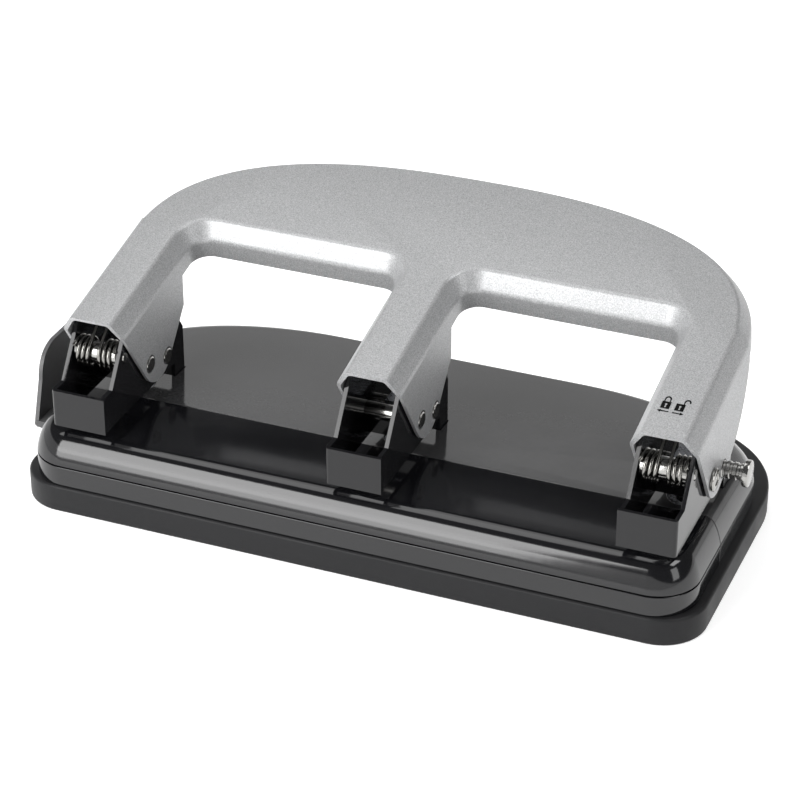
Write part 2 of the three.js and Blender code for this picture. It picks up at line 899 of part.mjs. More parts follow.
function handleBody() {
	const shell = handleForm(0).subtract(handleForm(handle.sheet));
	const slab = new THREE.BoxGeometry(4 * holeSpacing, 4 * holeSpacing, handle.skirt);
	slab.translate(0, 0, -handle.skirt / 2);
	slab.rotateX(radians(handle.slope));
	slab.translate(0, mouthY, slotRoof + mouthRise);
	const side = holeSpacing + handle.flatHalfWidth;
	const keep = together([
		solid(slab),
		plateAcross(earShape(false), -side, side),
		plateAcross(earShape(true), -side - 2 * handle.bevelOut, -side),
		plateAcross(earShape(true), side, side + 2 * handle.bevelOut),
	]);
	const lean = tan(radians(handle.mouthLean));
	const drop = ear.frontDrop;
	const kneeY = mouthY + lean * drop;
	const reach = 2 * holeSpacing;
	const far = mouthY - reach;
	const mouthCut = plateAcross(
		polygon([
			[mouthY - lean * overrun, slotRoof + mouthRise + overrun],
			[kneeY, slotRoof + kneeRise],
			[kneeY, slotRoof],
			[far, slotRoof],
			[far, slotRoof + mouthRise + overrun],
		]),
		-reach,
		reach
	);
	let body = shell.intersect(keep).subtract(mouthCut);
	const pinHole = pivot.diameter + 2 * gap;
	body = body.subtract(rodAlongX(pinHole, -reach, reach, pivotY, pivotZ));
	body = body.subtract(rodAlongX(drive.collar + 2 * gap, -reach, reach, driveRest.y, driveRest.z));
	return body;
}

add('handle', handleBody(), silverPaint);

// Lock knob: a ribbed sleeve with a flat head
function lockKnob() {
	const start = holeSpacing + lock.innerX;
	const end = start + lock.length;
	const { y, z } = driveRest;
	let body = rodAlongX(lock.sleeve, start, end, y, z).add(
		rodAlongX(lock.headDiameter, end - lock.headThickness, end, y, z)
	);
	body = body.subtract(rodAlongX(lock.bore, start - overrun, end - lock.backWall, y, z));
	return body;
}

add('lock_knob', lockKnob(), brightSteel);

// Paper guide: an upright stop plate on a flat arm that slides in a rail under the frame plate
function paperGuide() {
	const { frontToe, frontLow, frontHigh, frontTop, rearTop, rear } = guide;
	const { lowHeight, highHeight, bottom, top } = guide;
	const shape = new THREE.Shape();
	shape.moveTo(frontToe, bottom);
	shape.lineTo(rear - guide.toeRadius, bottom);
	shape.quadraticCurveTo(rear, bottom, rear, bottom + guide.toeRadius);
	shape.lineTo(rear, highHeight);
	shape.quadraticCurveTo(rear, top, rearTop, top);
	shape.lineTo(frontTop, top);
	shape.quadraticCurveTo(frontHigh + guide.toeRadius, top - guide.toeRadius, frontHigh, highHeight);
	shape.lineTo(frontLow, lowHeight + guide.toeRadius);
	shape.quadraticCurveTo(frontLow, lowHeight, frontLow + guide.toeRadius, lowHeight - guide.toeRadius);
	const plate = plateAcross(shape, guideFace - guide.plate, guideFace);
	const arm = block(
		guideFace - guide.plate / 2,
		guideFace + guide.armLength,
		guide.armFront,
		guide.armFront + guide.armWidth,
		armHeight,
		armHeight + guide.armThickness
	);
	return plate.add(arm);
}

add('paper_guide', paperGuide(), matteBlack);

// Guide rail: a bent channel that hangs from the frame plate round the guide's arm
function guideRail() {
	const near = guide.armFront - gap;
	const far = guide.armFront + guide.armWidth + gap;
	const top = frameBottom - gap;
	const low = armHeight - gap;
	const wall = rail.sheet;
	const outline = polygon([
		[near - wall, low - wall],
		[far + wall, low - wall],
		[far + wall, top],
		[near - wall, top],
	]);
	const room = block(
		railStart - overrun,
		railStart + rail.length + overrun,
		near,
		far,
		low,
		armHeight + guide.armThickness + gap
	);
	return plateAcross(outline, railStart, railStart + rail.length).subtract(room);
}

add('guide_rail', guideRail(), zincSteel);

export default machine;
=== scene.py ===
from math import atan, cos, pi, radians, sin, tan

import bmesh
import bpy
from mathutils import Matrix, Vector


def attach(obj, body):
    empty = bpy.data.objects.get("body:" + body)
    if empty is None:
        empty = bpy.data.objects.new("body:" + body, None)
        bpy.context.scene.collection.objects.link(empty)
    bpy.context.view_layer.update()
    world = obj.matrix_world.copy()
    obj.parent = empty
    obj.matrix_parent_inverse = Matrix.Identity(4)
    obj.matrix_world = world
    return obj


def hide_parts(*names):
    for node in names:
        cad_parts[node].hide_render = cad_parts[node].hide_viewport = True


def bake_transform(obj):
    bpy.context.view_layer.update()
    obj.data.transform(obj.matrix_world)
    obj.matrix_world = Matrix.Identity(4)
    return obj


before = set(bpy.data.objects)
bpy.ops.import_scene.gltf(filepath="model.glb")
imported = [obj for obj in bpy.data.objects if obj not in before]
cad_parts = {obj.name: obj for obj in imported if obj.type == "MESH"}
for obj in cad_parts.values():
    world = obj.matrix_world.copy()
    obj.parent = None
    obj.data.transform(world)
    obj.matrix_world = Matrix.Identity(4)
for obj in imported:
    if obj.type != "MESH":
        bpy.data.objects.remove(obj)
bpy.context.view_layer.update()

# Chip tray
# The chip tray is a shallow pan moulded in matte black plastic, with its outer edges rounded over.
# It stands flat on the table and carries the machine: the base drops over the thin rim inside its edge.

# Sizes of pieces are in millimetres from the middle punch's axis at the table: x right, y back, z up.
MM = 0.001
TRAY_LEFT = -134.6
TRAY_RIGHT = 127.5
TRAY_FRONT = -51.2
TRAY_REAR = 83.0
TRAY_HEIGHT = 10.9
TRAY_FRONT_RADIUS = 17.0
TRAY_REAR_RADIUS = 46.0
TRAY_FLOOR = 2.0
TRAY_ROUND = 1.1
TRAY_RIM_INSET = 2.5
TRAY_RIM_WALL = 1.4
TRAY_RIM_TOP = 12.9
BASE_LEFT = -130.9
BASE_RIGHT = 124.2
BASE_FRONT = -50.3
BASE_REAR = 71.0
BASE_FRONT_RADIUS = 16.1
BASE_ACROSS = 63.0
BASE_ALONG = 42.0
CORNER_STEPS = 28
ROUND_STEPS = 5


def outline(left, right, front, rear, front_radius, across, along, height):
    """Points round the machine at one height: round corners in front, longer elliptical ones behind."""
    corners = [
        (right - front_radius, front + front_radius, front_radius, front_radius, -90),
        (right - across, rear - along, across, along, 0),
        (left + across, rear - along, across, along, 90),
        (left + front_radius, front + front_radius, front_radius, front_radius, 180),
    ]
    points = []
    for x, y, reach_x, reach_y, start in corners:
        for step in range(CORNER_STEPS + 1):
            angle = radians(start + 90 * step / CORNER_STEPS)
            points.append((x + reach_x * cos(angle), y + reach_y * sin(angle), height))
    return points


def tray_ring(inset, height):
    """Outline of the tray's outer face at one height, drawn in by an inset."""
    return outline(TRAY_LEFT + inset, TRAY_RIGHT - inset, TRAY_FRONT + inset, TRAY_REAR - inset,
                   TRAY_FRONT_RADIUS - inset, TRAY_REAR_RADIUS - inset, TRAY_REAR_RADIUS - inset, height)


def wall_ring(inset, height):
    """Outline of the base's wall at one height, drawn in by an inset."""
    return outline(BASE_LEFT + inset, BASE_RIGHT - inset, BASE_FRONT + inset, BASE_REAR - inset,
                   BASE_FRONT_RADIUS - inset, BASE_ACROSS - inset, BASE_ALONG - inset, height)


def piece_from(name, points, faces, material, sharp=32):
    """A new piece from points in millimetres, smooth-shaded up to an angle between faces."""
    mesh = bpy.data.meshes.new(name)
    mesh.from_pydata([Vector(point) * MM for point in points], [], faces)
    shape = bmesh.new()
    shape.from_mesh(mesh)
    bmesh.ops.recalc_face_normals(shape, faces=shape.faces)
    shape.to_mesh(mesh)
    shape.free()
    mesh.shade_smooth()
    mesh.set_sharp_from_angle(angle=radians(sharp))
    piece = bpy.data.objects.new(name, mesh)
    bpy.context.scene.collection.objects.link(piece)
    piece.data.materials.append(material)
    return piece


def stack(rings):
    """Points and faces of a closed body whose outlines lie one on the next."""
    count = len(rings[0])
    points = [point for ring in rings for point in ring]
    faces = []
    for level in range(len(rings) - 1):
        for i in range(count):
            a, b = level * count + i, level * count + (i + 1) % count
            faces.append((a, b, b + count, a + count))
    faces.append(tuple(reversed(range(count))))
    faces.append(tuple(range((len(rings) - 1) * count, len(rings) * count)))
    return points, faces


def shader(name):
    """A new material, with its nodes and links."""
    material = bpy.data.materials.new(name)
    material.use_nodes = True
    return material, material.node_tree.nodes, material.node_tree.links


def speckle(nodes, links, grain, detail=2.0):
    """A noise that stays put on the piece; grain is the size of its spots in millimetres."""
    place = nodes.new("ShaderNodeTexCoord")
    noise = nodes.new("ShaderNodeTexNoise")
    noise.inputs["Scale"].default_value = 1 / (grain * MM)
    noise.inputs["Detail"].default_value = detail
    links.new(place.outputs["Object"], noise.inputs["Vector"])
    return noise.outputs["Fac"]


def spread(nodes, links, source, low, high, at=(0.3, 0.7)):
    """Turns a source that runs between two bounds into values from low to high."""
    ramp = nodes.new("ShaderNodeMapRange")
    ramp.inputs["From Min"].default_value = at[0]
    ramp.inputs["From Max"].default_value = at[1]
    ramp.inputs["To Min"].default_value = low
    ramp.inputs["To Max"].default_value = high
    links.new(source, ramp.inputs["Value"])
    return ramp.outputs["Result"]


def blend_colours(nodes, links, source, dark, light):
    """Mixes two colours by a noise."""
    mix = nodes.new("ShaderNodeMix")
    mix.data_type = "RGBA"
    mix.inputs[6].default_value = (*dark, 1)
    mix.inputs[7].default_value = (*light, 1)
    links.new(source, mix.inputs[0])
    return mix.outputs[2]


def relief(nodes, links, source, depth):
    """Raises the surface by a noise; depth is in millimetres."""
    bump = nodes.new("ShaderNodeBump")
    bump.inputs["Distance"].default_value = depth * MM
    links.new(source, bump.inputs["Height"])
    return bump.outputs["Normal"]


def black_finish(name, tone, gloss, grain, depth, sheen=0.5):
    """A black finish: gloss is (lowest, highest) roughness, grain and depth its texture, sheen its shine."""
    cloud_size, cloud_detail = 14.0, 4.0
    mottle_size, mottle_lift = 3.0, 1.25
    material, nodes, links = shader(name)
    body = nodes["Principled BSDF"]
    cloud = speckle(nodes, links, cloud_size, cloud_detail)
    links.new(spread(nodes, links, cloud, *gloss), body.inputs["Roughness"])
    mottle = speckle(nodes, links, mottle_size)
    lighter = [channel * mottle_lift for channel in tone]
    links.new(blend_colours(nodes, links, mottle, tone, lighter), body.inputs["Base Color"])
    links.new(relief(nodes, links, speckle(nodes, links, grain), depth), body.inputs["Normal"])
    body.inputs["IOR"].default_value = 1.5
    body.inputs["Specular IOR Level"].default_value = sheen
    return material


matte_black = black_finish("matte black plastic", tone=(0.014, 0.014, 0.015), gloss=(0.42, 0.52),
                            grain=0.35, depth=0.03, sheen=0.22)

tray_rings = []
for step in range(ROUND_STEPS + 1):
    turn = (pi / 2) * step / ROUND_STEPS
    tray_rings.append(tray_ring(TRAY_ROUND * (1 - sin(turn)), TRAY_ROUND * (1 - cos(turn))))
for step in range(ROUND_STEPS + 1):
    turn = (pi / 2) * step / ROUND_STEPS
    tray_rings.append(tray_ring(TRAY_ROUND * (1 - cos(turn)), TRAY_HEIGHT - TRAY_ROUND * (1 - sin(turn))))
tray_rings += [
    wall_ring(TRAY_RIM_INSET, TRAY_HEIGHT),
    wall_ring(TRAY_RIM_INSET, TRAY_RIM_TOP),
    wall_ring(TRAY_RIM_INSET + TRAY_RIM_WALL, TRAY_RIM_TOP),
    wall_ring(TRAY_RIM_INSET + TRAY_RIM_WALL, TRAY_FLOOR),
]
tray_body = piece_from("chip_tray_body", *stack(tray_rings), matte_black)
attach(tray_body, "tray")
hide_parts("chip_tray")

# Base covers
# The base is a shell of polished black plastic in two mouldings that meet at a seam across the machine.
# Its wall stands straight up to a fine groove and swells over in a rounded bulge. The top is level in
# front of the seam, and the deck behind it falls gently to the rear.

HEADS = {"left": -107.95, "middle": 0.0, "right": 107.95}
CREASE_HEIGHT = 19.4
TOP_HEIGHT = 30.3
TOP_LEFT = -124.6
TOP_RIGHT = 117.8
TOP_FRONT = -41.6
TOP_REAR = 67.0
TOP_FRONT_RADIUS = 8.5
TOP_ACROSS = 76.0
TOP_ALONG = 42.0
BASE_WALL = 2.2
SEAM_Y = -10.1
SEAM_GAP = 0.3
DECK_FALL = 3.0
BULGE_START = 20
BULGE_STEPS = 18
INNER_STEPS = 6
GROOVE_DEPTH = 1.2
GROOVE_WIDTH = 0.55
SHELL_BOTTOM = 11.2
EDGE_ROUND = 0.35
COVER_SHARP = 14
CUT_TOLERANCE = 1e-7
DIE_HOLE = 13.6
FOOT_HALF = 10.7
FOOT_FRONT = 10.7
FOOT_REAR = 19.3
DECK_CUT_LOW = 24.1
DECK_CUT_HIGH = 45.0
ARM_SLOT_FRONT = -21.8
ARM_SLOT_REAR = -11.2
ARM_SLOT_LOW = 14.6
ARM_SLOT_HIGH = 17.8
CUT_OVERRUN = 2.0


def deck_height(y):
    """Height of the falling deck at a distance behind the seam."""
    return TOP_HEIGHT - tan(radians(DECK_FALL)) * (y - SEAM_Y)


def shell_rings(inset, falling, steps):
    """Outlines of one skin of the base, from the foot up the wall and over the bulge to the top."""
    foot = wall_ring(inset, SHELL_BOTTOM)
    top = outline(TOP_LEFT + inset, TOP_RIGHT - inset, TOP_FRONT + inset, TOP_REAR - inset,
                  TOP_FRONT_RADIUS - inset, TOP_ACROSS - inset, TOP_ALONG - inset, 0)
    rings = [foot]
    if inset == 0:
        groove = CREASE_HEIGHT - GROOVE_WIDTH
        rings.append(wall_ring(0, groove))
        rings.append(wall_ring(GROOVE_DEPTH, groove))
        rings.append(wall_ring(GROOVE_DEPTH, CREASE_HEIGHT))
    first = radians(BULGE_START)
    for step in range(steps + 1):
        angle = first + (pi / 2 - first) * step / steps
        inward = 1 - cos(angle) / cos(first)
        upward = (sin(angle) - sin(first)) / (1 - sin(first))
        ring = []
        for (x, y, _), (top_x, top_y, _) in zip(foot, top):
            across, along = x + (top_x - x) * inward, y + (top_y - y) * inward
            height = deck_height(along) if falling else TOP_HEIGHT
            ring.append((across, along, CREASE_HEIGHT + (height - CREASE_HEIGHT) * upward - inset))
        rings.append(ring)
    return rings


def keep_side(piece, y, direction):
    """Cuts a closed piece at a plane across the machine, keeps one side, and closes it."""
    shape = bmesh.new()
    shape.from_mesh(piece.data)
    cut = bmesh.ops.bisect_plane(
        shape, geom=shape.verts[:] + shape.edges[:] + shape.faces[:], dist=CUT_TOLERANCE,
        plane_co=(0, y * MM, 0), plane_no=(0, -direction, 0), clear_outer=True)
    edges = [item for item in cut["geom_cut"] if isinstance(item, bmesh.types.BMEdge)]
    bmesh.ops.triangle_fill(shape, edges=edges, use_beauty=True, use_dissolve=True)
    bmesh.ops.recalc_face_normals(shape, faces=shape.faces)
    shape.to_mesh(piece.data)
    shape.free()


def cutter_box(low, high):
    """A box between two corners, as a cutter."""
    corners = [(x, y, z) for x in (low[0], high[0]) for y in (low[1], high[1]) for z in (low[2], high[2])]
    faces = [(0, 1, 3, 2), (4, 6, 7, 5), (0, 4, 5, 1), (2, 3, 7, 6), (0, 2, 6, 4), (1, 5, 7, 3)]
    return corners, faces


def cutter_rod(axis, diameter, start, end, place, sides=48):
    """A plain rod along x or z, as a cutter; place is its other two coordinates."""
    rings = []
    for reach in (start, end):
        ring = []
        for step in range(sides):
            a = diameter / 2 * cos(2 * pi * step / sides)
            b = diameter / 2 * sin(2 * pi * step / sides)
            if axis == "x":
                ring.append((reach, place[0] + a, place[1] + b))
            else:
                ring.append((place[0] + a, place[1] + b, reach))
        rings.append(ring)
    return stack(rings)


def carve(piece, cutters):
    """Takes cutters away from a piece for good, and leaves it its own finish alone."""
    cutter_finish = bpy.data.materials.get("cutter") or bpy.data.materials.new("cutter")
    finish = piece.data.materials[0]
    for points, faces in cutters:
        tool = piece_from("cutter", points, faces, cutter_finish)
        cut = piece.modifiers.new("cut", "BOOLEAN")
        cut.operation = "DIFFERENCE"
        cut.solver = "EXACT"
        cut.object = tool
        shaped = piece.evaluated_get(bpy.context.evaluated_depsgraph_get())
        mesh = bpy.data.meshes.new_from_object(shaped)
        piece.modifiers.clear()
        piece.data = mesh
        bpy.data.objects.remove(tool)
    piece.data.materials.clear()
    piece.data.materials.append(finish)


def soften_edges(piece, width, angle=50, segments=3):
    """Rounds the edges of a piece that are sharper than an angle."""
    edge = piece.modifiers.new("edges", "BEVEL")
    edge.limit_method = "ANGLE"
    edge.angle_limit = radians(angle)
    edge.width = width * MM
    edge.segments = segments
    edge.harden_normals = True


def base_cover(name, falling, direction, cutters, material):
    """One of the base's two covers: the shell, cut at the seam and at its openings."""
    outer = shell_rings(0, falling, BULGE_STEPS)
    inner = list(reversed(shell_rings(BASE_WALL, falling, INNER_STEPS)))
    cover = piece_from(name, *stack(inner + outer), material, sharp=COVER_SHARP)
    keep_side(cover, SEAM_Y + direction * SEAM_GAP / 2, direction)
    carve(cover, cutters)
    cover.data.shade_smooth()
    cover.data.set_sharp_from_angle(angle=radians(COVER_SHARP))
    soften_edges(cover, EDGE_ROUND)
    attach(cover, "base")
    return cover


def dull_when_level(material, steep, level, bounds):
    """Fades the shine of a black finish from its steep faces to its level ones."""
    nodes, links = material.node_tree.nodes, material.node_tree.links
    facing = nodes.new("ShaderNodeNewGeometry")
    upward = nodes.new("ShaderNodeSeparateXYZ")
    links.new(facing.outputs["True Normal"], upward.inputs[0])
    links.new(spread(nodes, links, upward.outputs["Z"], steep, level, bounds),
              nodes["Principled BSDF"].inputs["Specular IOR Level"])


COVER_SHEEN = 0.62
polished_black = black_finish("polished black plastic", tone=(0.005, 0.005, 0.006), gloss=(0.09, 0.12),
                               grain=6.0, depth=0.010, sheen=COVER_SHEEN)
dull_when_level(polished_black, steep=COVER_SHEEN, level=0.25, bounds=(0.93, 0.985))
deck_black = black_finish("deck black plastic", tone=(0.034, 0.034, 0.035), gloss=(0.08, 0.12),
                           grain=5.0, depth=0.010)

arm_slot = cutter_box((TRAY_LEFT - CUT_OVERRUN, ARM_SLOT_FRONT, ARM_SLOT_LOW),
                      (BASE_LEFT + BASE_WALL + CUT_OVERRUN, ARM_SLOT_REAR, ARM_SLOT_HIGH))
front_cover = base_cover("base_front_cover_moulding", False, -1, [arm_slot], polished_black)
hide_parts("base_front_cover")

deck_holes = []
for x in HEADS.values():
    deck_holes.append(cutter_rod("z", DIE_HOLE, DECK_CUT_LOW, DECK_CUT_HIGH, (x, 0)))
    deck_holes.append(cutter_box((x - FOOT_HALF, FOOT_FRONT, DECK_CUT_LOW),
                                 (x + FOOT_HALF, FOOT_REAR, DECK_CUT_HIGH)))
rear_deck = base_cover("base_rear_deck_moulding", True, 1, deck_holes, deck_black)
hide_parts("base_rear_deck")

# Steel inside the base
# The frame plate, the guide's rail, the dies and the screws are plain steel parts under the covers.
# The plate and screws are zinc plated, and the dies are ground tool steel.

STEEL_DARK_SHARE = 0.86
STEEL_CLOUD_TIMES = 6
STEEL_RELIEF = 0.01
SHEET_EDGE = 0.15
WELD_GAP = 0.002


def plain_steel(name, tone, rough, grain):
    """Steel with a fine grain; rough is (lowest, highest) roughness."""
    material, nodes, links = shader(name)
    body = nodes["Principled BSDF"]
    fine = speckle(nodes, links, grain, 3.0)
    darker = [channel * STEEL_DARK_SHARE for channel in tone]
    links.new(blend_colours(nodes, links, fine, darker, tone), body.inputs["Base Color"])
    cloud = speckle(nodes, links, grain * STEEL_CLOUD_TIMES)
    links.new(spread(nodes, links, cloud, *rough), body.inputs["Roughness"])
    links.new(relief(nodes, links, fine, STEEL_RELIEF), body.inputs["Normal"])
    body.inputs["Metallic"].default_value = 1.0
    return material


def dress(node, material, width=0.0):
    """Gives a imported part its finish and, where asked, rounded edges."""
    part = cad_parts[node]
    part.data.materials.clear()
    part.data.materials.append(material)
    if width:
        join = part.modifiers.new("join", "WELD")
        join.merge_threshold = WELD_GAP * MM
        soften_edges(part, width, angle=40, segments=2)


zinc = plain_steel("zinc plated steel", tone=(0.52, 0.54, 0.56), rough=(0.25, 0.40), grain=0.4)
tool_steel = plain_steel("ground tool steel", tone=(0.30, 0.31, 0.33), rough=(0.22, 0.34), grain=0.2)
for node in ("frame_plate", "guide_rail"):
    dress(node, zinc, SHEET_EDGE)
for place in ("front_left", "front_right", "rear_left", "rear_right"):
    dress(f"cover_screw_{place}", zinc)
for head in HEADS:
    dress(f"head_screw_{head}_outer", zinc)
    dress(f"head_screw_{head}_inner", zinc)
    dress(f"die_{head}", tool_steel)

# Punch heads
# Each head is one bent sheet of steel, lacquered gloss black: two side flanges joined by a front plate.
# Two screws hold it to the frame plate, and its punch slides straight down inside it.

BRACKET_EDGE = 0.3
PUNCH_EDGE = 0.15
LACQUER_SHEEN = 0.42

black_lacquer = black_finish("gloss black lacquer", tone=(0.009, 0.009, 0.010), gloss=(0.07, 0.13),
                              grain=1.6, depth=0.008, sheen=LACQUER_SHEEN)
dull_when_level(black_lacquer, steep=LACQUER_SHEEN, level=0.04, bounds=(0.85, 0.95))
for head in HEADS:
    dress(f"head_bracket_{head}", black_lacquer, BRACKET_EDGE)
    dress(f"punch_pin_{head}", tool_steel, PUNCH_EDGE)

# Pins of the linkage
# The pivot pins and drive pins are turned steel, nickel plated, with small chamfers at their ends.
# They pass through the flanges and stand a little proud of the handle's side lobes. The right pivot
# pin ends in a round head, and the right drive pin is longer, to carry the lock knob.

PIVOT_Y = -11.8
PIVOT_Z = 46.4
PIVOT_DIAMETER = 6.2
PIVOT_END = 12.7
DRIVE_Y = 2.005
DRIVE_Z = 42.907
DRIVE_CORE = 4.0
DRIVE_COLLAR = 6.2
COLLAR_START = 10.8
LOCK_PIN_END = 14.5
LOCK_PIN_CHAMFER = 0.4
PIN_CHAMFER = 0.6
CHAMFER_ALONG_SHARE = 0.4
CHAMFER_DOWN_SHARE = 0.25
HEAD_DIAMETER = 8.4
HEAD_START = 12.6
HEAD_END = 13.8
HEAD_ROUND = 0.6
HEAD_ROUND_START = 0.5
HEAD_ROUND_MIDDLE = 0.2
DIMPLE_RADIUS = 2.2
DIMPLE_FLOOR_RADIUS = 1.9
DIMPLE_DEPTH = 0.3
PIN_SIDES = 40
TURNED_SHARP = 28

bright = plain_steel("bright nickel", tone=(0.40, 0.395, 0.38), rough=(0.14, 0.22), grain=0.8)


def turned(name, profile, place, material, sides=PIN_SIDES):
    """A piece turned about an axis along x: profile is (x, radius) pairs, place the axis's y and z."""
    rings = []
    for x, radius in profile:
        ring = []
        for step in range(sides):
            angle = 2 * pi * step / sides
            ring.append((x, place[0] + radius * cos(angle), place[1] + radius * sin(angle)))
        rings.append(ring)
    return piece_from(name, *stack(rings), material, sharp=TURNED_SHARP)


def chamfered(x_low, x_high, diameter, chamfer=PIN_CHAMFER):
    """Profile of a rod with a rounded chamfer at both ends: three points for each end."""
    radius = diameter / 2
    along, down = chamfer * CHAMFER_ALONG_SHARE, chamfer * CHAMFER_DOWN_SHARE
    return [(x_low, radius - chamfer), (x_low + along, radius - down), (x_low + chamfer, radius),
            (x_high - chamfer, radius), (x_high - along, radius - down), (x_high, radius - chamfer)]


def pivot_head(x):
    """Profile of the right pivot pin's round head, with a dimple in its face."""
    low, high, radius = x + HEAD_START, x + HEAD_END, HEAD_DIAMETER / 2
    return [(low, PIVOT_DIAMETER / 2), (low, radius), (high - HEAD_ROUND_START, radius),
            (high - HEAD_ROUND_MIDDLE, radius - HEAD_ROUND_MIDDLE), (high, radius - HEAD_ROUND),
            (high, DIMPLE_RADIUS), (high - DIMPLE_DEPTH, DIMPLE_FLOOR_RADIUS)]


for head, x in HEADS.items():
    right = head == "right"
    pivot = chamfered(x - PIVOT_END, x + PIVOT_END, PIVOT_DIAMETER)
    if right:
        pivot = pivot[:3] + pivot_head(x)
    pin = turned(f"pivot_pin_{head}_turned", pivot, (PIVOT_Y, PIVOT_Z), bright)
    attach(pin, "base")
    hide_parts(f"pivot_pin_{head}")

    core, collar = DRIVE_CORE / 2, DRIVE_COLLAR / 2
    drive = chamfered(x - PIVOT_END, x - COLLAR_START, DRIVE_COLLAR)[:3]
    drive += [(x - COLLAR_START, collar), (x - COLLAR_START, core)]
    if right:
        drive += chamfered(x, x + LOCK_PIN_END, DRIVE_CORE, LOCK_PIN_CHAMFER)[3:]
    else:
        drive += [(x + COLLAR_START, core), (x + COLLAR_START, collar)]
        drive += chamfered(x + COLLAR_START, x + PIVOT_END, DRIVE_COLLAR)[3:]
    pin = turned(f"drive_pin_{head}_turned", drive, (DRIVE_Y, DRIVE_Z), bright)
    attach(pin, "handle")
    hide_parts(f"drive_pin_{head}")

# Return springs
# Each outer head holds two torsion springs of steel wire on a turned drum between the flanges.
# The turns sit on the drum, and a bent leg runs back from each and bears under the handle's roof.

SPRING_Y = -28.0
SPRING_Z = 57.2
WIRE = 1.4
COIL_RADIUS = 5.2
PITCH = 1.95
TURNS = 3
SPRING_START = 2.1
LEG_ANGLE = 38.0
LEG_LENGTH = 14.0
LEG_END = (3.0, 78.865)
ELBOW_REACH = 3
TAIL_REACH = 0.6
TAIL_TURN = pi / 16
DRUM_DIAMETER = 8.3
DRUM_HALF = 8.5
DRUM_CHAMFER = 0.4
JOURNAL = 4.0
JOURNAL_END = 10.6
JOURNAL_CHAMFER = 0.3
TURN_STEPS = 28
WIRE_SIDES = 10
ELBOW_STEPS = 5
WIRE_SHARP = 60

spring_wire = plain_steel("spring wire", tone=(0.27, 0.265, 0.25), rough=(0.14, 0.22), grain=0.5)


def spring_path(x, side):
    """Middle line of a spring from the tip of its leg, round its elbow and turns, to its tail."""
    def on_coil(angle, across):
        """A point of the coil at an angle round it and a distance across from the head's middle."""
        along, up = COIL_RADIUS * cos(angle), COIL_RADIUS * sin(angle)
        return Vector((x + side * across, SPRING_Y + along, SPRING_Z + up))

    lean = radians(LEG_ANGLE)
    start = lean + pi / 2
    leave = on_coil(start, SPRING_START)
    elbow = leave + LEG_LENGTH * Vector((0, cos(lean), sin(lean)))
    tip = Vector((leave.x, *LEG_END))
    points = [tip]
    before = (tip - elbow).normalized() * ELBOW_REACH
    after = (leave - elbow).normalized() * ELBOW_REACH
    for step in range(ELBOW_STEPS + 1):
        t = step / ELBOW_STEPS
        points.append(elbow + before * (1 - t) ** 2 + after * t ** 2)
    steps = TURN_STEPS * TURNS
    for step in range(steps + 1):
        turned_by = 2 * pi * TURNS * step / steps
        points.append(on_coil(start + turned_by, SPRING_START + PITCH * turned_by / (2 * pi)))
    tail = on_coil(start + 2 * pi * TURNS + TAIL_TURN, SPRING_START + PITCH * TURNS)
    tail.x += side * TAIL_REACH
    points.append(tail)
    return points


def wire_along(path, diameter, sides):
    """Points and faces of a round wire along a path, closed at both ends."""
    rings = []
    side = Vector((1, 0, 0))
    for i, point in enumerate(path):
        along = (path[min(i + 1, len(path) - 1)] - path[max(i - 1, 0)]).normalized()
        side = (side - along * side.dot(along)).normalized()
        up = along.cross(side)
        ring = []
        for step in range(sides):
            angle = 2 * pi * step / sides
            ring.append(tuple(point + side * diameter / 2 * cos(angle) + up * diameter / 2 * sin(angle)))
        rings.append(ring)
    return stack(rings)


def drum_profile(x):
    """Profile of a spring drum with a thinner journal at each end."""
    journal = JOURNAL / 2
    profile = [(x - JOURNAL_END, journal - JOURNAL_CHAMFER), (x - JOURNAL_END + JOURNAL_CHAMFER, journal),
               (x - DRUM_HALF, journal)]
    profile += chamfered(x - DRUM_HALF, x + DRUM_HALF, DRUM_DIAMETER, DRUM_CHAMFER)
    profile += [(x + DRUM_HALF, journal), (x + JOURNAL_END - JOURNAL_CHAMFER, journal),
                (x + JOURNAL_END, journal - JOURNAL_CHAMFER)]
    return profile


for head in ("left", "right"):
    x = HEADS[head]
    for side, letter in ((-1, "a"), (1, "b")):
        points, faces = wire_along(spring_path(x, side), WIRE, WIRE_SIDES)
        spring = piece_from(f"return_spring_{head}_{letter}_wound", points, faces, spring_wire,
                            sharp=WIRE_SHARP)
        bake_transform(spring)
        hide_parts(f"return_spring_{head}_{letter}")
    drum = turned(f"spring_shaft_{head}_turned", drum_profile(x), (SPRING_Y, SPRING_Z), bright)
    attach(drum, "base")
    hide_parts(f"spring_shaft_{head}")

# Handle
# The handle is one pressing of steel sheet, painted silver: a wide arch on three legs, with sloping
# edges and a skirt turned down all round. Lobes on the legs' sides carry the pins.

SHEET = 1.2
SLOPE = 12.0
LEG_HALF = 8.0
BEVEL_OUT = 4.3
BEVEL_DOWN = 6.8
SKIRT = 14.2
MOUTH_Y = -34.0
MOUTH_Z = 73.2
MOUTH_LEAN = 17.0
BAR_FRONT = 67.3
ARCH_REAR = 117.6
ARCH_START = 51.0
ARCH_POWER = 2.5
WINDOW_RADIUS = 12.0
TOP_BEND = 2.4
TOP_BEND_SHARE = 1 / 2
SIDE_BEND = 3.4
SIDE_BEND_SHARE = 1 / 2.4
BRACKET_FRONT = -47.0
SLOT_ROOF = 34.7
